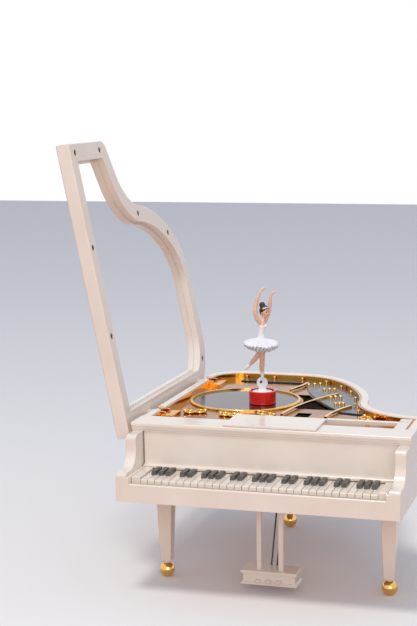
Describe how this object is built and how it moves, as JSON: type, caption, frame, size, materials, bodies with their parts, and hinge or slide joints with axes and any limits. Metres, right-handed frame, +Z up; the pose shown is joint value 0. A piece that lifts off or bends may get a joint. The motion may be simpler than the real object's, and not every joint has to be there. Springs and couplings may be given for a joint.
{
  "type": "miniature grand piano",
  "caption": "Miniature grand piano music box with raised open lid frame, gilded inside, dancer gliding on a mirror, folding desk, prop, pedal lyre and ball feet.",
  "frame": {"origin": "middle of the bottom of the whole box with the lid open, on the surface that it stands on", "axes": "+Z up, +Y from the keyboard to the tail, +X from bass to treble"},
  "size_m": [0.2172, 0.2096, 0.2694],
  "materials": {
    "ivory_shell": "moulded ivory white, glossy",
    "white_key": "glossy off-white",
    "black_key": "printed black, satin",
    "screw_steel": "bright zinc",
    "lid_screw": "bronzed",
    "gilt": "mirror gilt plating",
    "foot_gold": "polished gold plating",
    "rod_dark": "dark wire",
    "mirror": "dark tinted mirror",
    "harp_slate": "slate blue, glossy plating",
    "skin": "painted",
    "white_dress": "moulded white",
    "dark_hair": "painted",
    "red_pot": "moulded red, glossy",
    "magnet": "ferrite",
    "zinc": "die-cast zinc",
    "comb_steel": "spring steel",
    "brass": "turned brass",
    "key_brass": "stamped brass",
    "white_gear": "acetal"
  },
  "bodies": {
    "case": {"case_rim": "ivory_shell", "bottom_plate": "ivory_shell", "bottom_screws": "screw_steel", "left_arm": "ivory_shell", "right_arm": "ivory_shell", "front_deck": "ivory_shell", "fallboard": "ivory_shell", "key_slip": "ivory_shell", "key_bed": "ivory_shell", "key_blocks": "ivory_shell", "white_keys": "white_key", "black_keys": "black_key", "desk_brackets": "ivory_shell", "pivot_pins": "screw_steel", "prop_block": "ivory_shell", "hinge_blocks": "gilt", "hinge_pins": "screw_steel", "leg_front_left": "ivory_shell", "leg_front_right": "ivory_shell", "leg_rear": "ivory_shell", "ball_feet": "foot_gold", "leg_screws": "screw_steel", "lyre_posts": "ivory_shell", "pedal_box": "ivory_shell", "pedals": "ivory_shell", "brace_rods": "rod_dark", "rim_lining": "gilt", "tray_floor": "gilt", "stage_ring": "gilt", "mirror_disc": "mirror", "harp_plate": "harp_slate", "tuning_pins": "gilt", "plate_studs": "gilt", "harp_struts": "gilt", "scroll_ornaments": "gilt", "bedplate": "zinc", "comb": "comb_steel", "comb_screws": "screw_steel", "governor_housing": "zinc", "centre_post": "zinc"},
    "lid": {"lid_outer_frame": "ivory_shell", "lid_inner_frame": "ivory_shell", "lid_screws": "lid_screw", "hinge_lugs": "ivory_shell"},
    "desk": {"music_desk": "ivory_shell"},
    "prop": {"prop_stick": "ivory_shell"},
    "key": {"winding_key": "key_brass"},
    "barrel": {"spring_barrel": "brass", "mainspring": "comb_steel"},
    "cylinder": {"pinned_cylinder": "brass"},
    "fan": {"governor_fan": "white_gear"},
    "carriage": {"carriage_wheel": "white_gear"},
    "planet": {"planet_gear": "white_gear", "drive_magnet": "magnet"},
    "dancer": {"dancer_figure": "skin", "tutu": "white_dress", "hair": "dark_hair", "dancer_plinth": "white_dress", "pot": "red_pot", "pot_magnet": "magnet"}
  },
  "joints": [
    {"name": "lid_hinge", "type": "hinge", "parent": "case", "child": "lid", "pos_m": [-0.06107, 0.02095, 0.09855], "axis": [0, 1, 0], "range_deg": [0, 101.3]},
    {"name": "desk_hinge", "type": "hinge", "parent": "case", "child": "desk", "pos_m": [0.02351, -0.0443, 0.1002], "axis": [-1, 0, 0], "range_deg": [0, 105]},
    {"name": "prop_hinge", "type": "hinge", "parent": "case", "child": "prop", "pos_m": [0.0985, -0.0352, 0.1], "axis": [0, 1, 0], "range_deg": [0, 70]},
    {"name": "key_wind", "type": "hinge", "parent": "case", "child": "key", "pos_m": [0.01051, 0.0242, 0.06], "axis": [0, 0, 1], "continuous": true},
    {"name": "barrel_turn", "type": "hinge", "parent": "case", "child": "barrel", "pos_m": [0.01051, 0.0242, 0.066], "axis": [0, 0, 1], "continuous": true},
    {"name": "cylinder_turn", "type": "hinge", "parent": "case", "child": "cylinder", "pos_m": [0.01976, 0.0242, 0.0788], "axis": [1, 0, 0], "continuous": true},
    {"name": "fan_turn", "type": "hinge", "parent": "case", "child": "fan", "pos_m": [0.05196, 0.0242, 0.0788], "axis": [0, 0, 1], "continuous": true},
    {"name": "carriage_turn", "type": "hinge", "parent": "case", "child": "carriage", "pos_m": [-0.018, 0.0242, 0.085], "axis": [0, 0, 1], "continuous": true},
    {"name": "planet_turn", "type": "hinge", "parent": "carriage", "child": "planet", "pos_m": [-0.0045, 0.01721, 0.089], "axis": [0, 0, 1], "continuous": true},
    {"name": "dancer_lift", "type": "slide", "parent": "planet", "child": "dancer", "axis": [0, 0, 1], "range_m": [0, 0.03]}
  ],
  "couplings": [
    {"joint": "cylinder_turn", "follows": "barrel_turn", "ratio": 1.25},
    {"joint": "fan_turn", "follows": "barrel_turn", "ratio": 12},
    {"joint": "carriage_turn", "follows": "barrel_turn", "ratio": -0.25},
    {"joint": "planet_turn", "follows": "barrel_turn", "ratio": -0.25}
  ]
}
